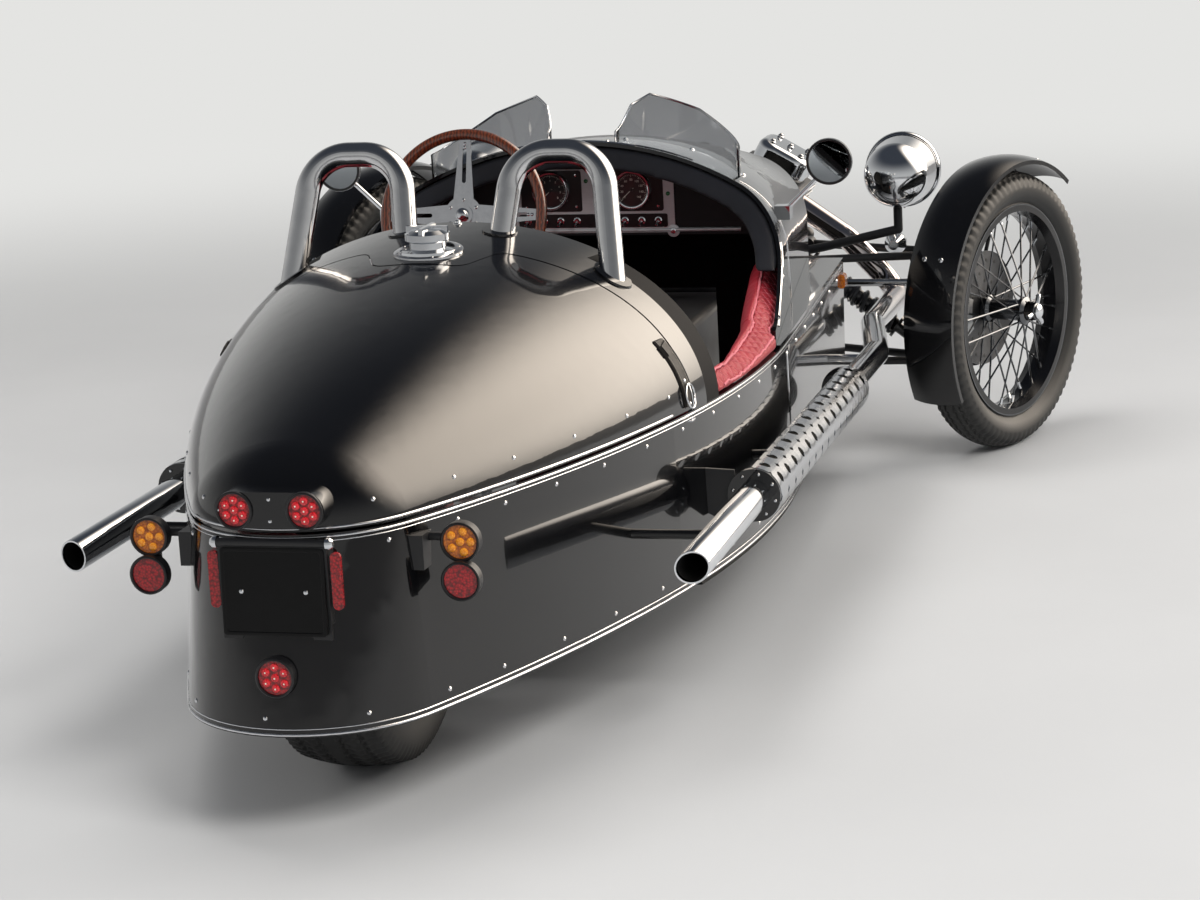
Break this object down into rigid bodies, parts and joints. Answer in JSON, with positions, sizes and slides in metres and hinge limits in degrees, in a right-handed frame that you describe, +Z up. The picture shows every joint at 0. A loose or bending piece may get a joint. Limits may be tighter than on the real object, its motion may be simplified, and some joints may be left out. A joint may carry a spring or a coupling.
{
  "type": "three wheeled car",
  "caption": "Open sports car with steered wire wheels beside its exposed front engine, an open cockpit with seats side by side, and a round tail whose lid lifts over the driven rear wheel.",
  "frame": {"origin": "on the ground, at the middle of the car's length and width", "axes": "+X to the car's left, +Y towards its tail, +Z up"},
  "size_m": [1.9446, 3.2848, 1.006],
  "materials": {
    "gloss_body": "gloss black paint",
    "floor_paint": "satin black",
    "frame_paint": "satin black powder coat",
    "guard_paint": "gloss black paint",
    "dash_paint": "satin black",
    "panel_alloy": "brushed",
    "gauge_face": "gloss",
    "black_padding": "soft grained",
    "red_padding": "soft grained, quilted",
    "red_seat": "soft grained",
    "hoop_steel": "polished",
    "filler_alloy": "polished",
    "strap_leather": "matt",
    "lamp_body": "satin black",
    "red_lens": "clear red",
    "amber_lens": "clear amber",
    "lamp_chrome": "polished",
    "lamp_glass": "clear",
    "smoked_screen": "smoked",
    "case_alloy": "dark cast",
    "barrel_alloy": "dark finned, bright edges",
    "cover_chrome": "polished",
    "intake_alloy": "cast",
    "exhaust_steel": "polished",
    "shield_steel": "brushed, perforated",
    "wishbone_paint": "satin black",
    "spring_steel": "satin",
    "rack_alloy": "cast",
    "knuckle_steel": "machined and painted",
    "rod_steel": "zinc plated",
    "wheel_steel": "bright spokes, black rim",
    "tyre_rubber": "matt",
    "rim_wood": "varnished",
    "spoke_alloy": "satin",
    "column_paint": "satin black"
  },
  "bodies": {
    "car": {"lower_body": "gloss_body", "floor_pan": "floor_paint", "cowl": "gloss_body", "side_shelves": "gloss_body", "rear_deck": "gloss_body", "bulkhead": "floor_paint", "dash_panel": "dash_paint", "instrument_panel": "panel_alloy", "gauges": "gauge_face", "scuttle_roll": "black_padding", "side_pads": "red_padding", "seats": "red_seat", "roll_hoops": "hoop_steel", "filler_cap": "filler_alloy", "plate_panel": "lamp_body", "lamp_shells": "lamp_body", "red_lenses": "red_lens", "amber_lenses": "amber_lens", "chassis_frame": "frame_paint", "headlamps": "lamp_chrome", "headlamp_glasses": "lamp_glass", "crankcase": "case_alloy", "cylinders": "barrel_alloy", "rocker_covers": "cover_chrome", "intake": "intake_alloy", "gearbox": "case_alloy", "exhausts": "exhaust_steel", "heat_shields": "shield_steel", "wishbones": "wishbone_paint", "coil_overs": "spring_steel", "rack_housing": "rack_alloy", "steering_column": "column_paint", "swing_arm": "frame_paint", "windscreens": "smoked_screen", "mirrors": "lamp_chrome"},
    "steering_wheel": {"steering_rim": "rim_wood", "steering_spokes": "spoke_alloy"},
    "rack": {"rack_tie_rods": "rod_steel"},
    "left_knuckle": {"knuckle_left": "knuckle_steel", "mudguard_left": "guard_paint"},
    "right_knuckle": {"knuckle_right": "knuckle_steel", "mudguard_right": "guard_paint"},
    "left_wheel": {"wire_wheel_left": "wheel_steel", "tyre_left": "tyre_rubber"},
    "right_wheel": {"wire_wheel_right": "wheel_steel", "tyre_right": "tyre_rubber"},
    "rear_wheel": {"rear_rim": "case_alloy", "rear_tyre": "tyre_rubber"},
    "lid": {"tail_lid": "gloss_body", "lamp_bar": "lamp_body", "tail_lamps": "red_lens", "lid_straps": "strap_leather"}
  },
  "joints": [
    {"name": "steering", "type": "hinge", "parent": "car", "child": "steering_wheel", "pos_m": [0.224, -0.165, 0.753], "axis": [0, 0.9608, 0.2773], "range_deg": [-27.4, 387.6]},
    {"name": "left_kingpin", "type": "hinge", "parent": "car", "child": "left_knuckle", "pos_m": [0.705, -1.285, 0.338], "axis": [0, 0, 1], "range_deg": [-3.4, 46.8]},
    {"name": "right_kingpin", "type": "hinge", "parent": "car", "child": "right_knuckle", "pos_m": [-0.705, -1.285, 0.338], "axis": [0, 0, 1], "range_deg": [-3.4, 46.8]},
    {"name": "rack_slide", "type": "slide", "parent": "car", "child": "rack", "axis": [-1, 0, 0], "range_m": [-0.007, 0.095]},
    {"name": "left_wheel_spin", "type": "hinge", "parent": "left_knuckle", "child": "left_wheel", "pos_m": [0.79327, -1.32013, 0.338], "axis": [0.9291, -0.3697, 0], "continuous": true},
    {"name": "right_wheel_spin", "type": "hinge", "parent": "right_knuckle", "child": "right_wheel", "pos_m": [-0.79327, -1.24987, 0.338], "axis": [0.9291, -0.3697, 0], "continuous": true},
    {"name": "rear_wheel_spin", "type": "hinge", "parent": "car", "child": "rear_wheel", "pos_m": [0, 1.197, 0.31], "axis": [1, 0, 0], "continuous": true},
    {"name": "lid_hinge", "type": "hinge", "parent": "car", "child": "lid", "pos_m": [0, 1.612, 0.503], "axis": [-1, 0, 0], "range_deg": [0, 60]}
  ],
  "couplings": [
    {"joint": "left_kingpin", "follows": "steering", "ratio": 0.12048},
    {"joint": "right_kingpin", "follows": "steering", "ratio": 0.12048},
    {"joint": "rack_slide", "follows": "steering", "m_per_rad": 0.014}
  ]
}
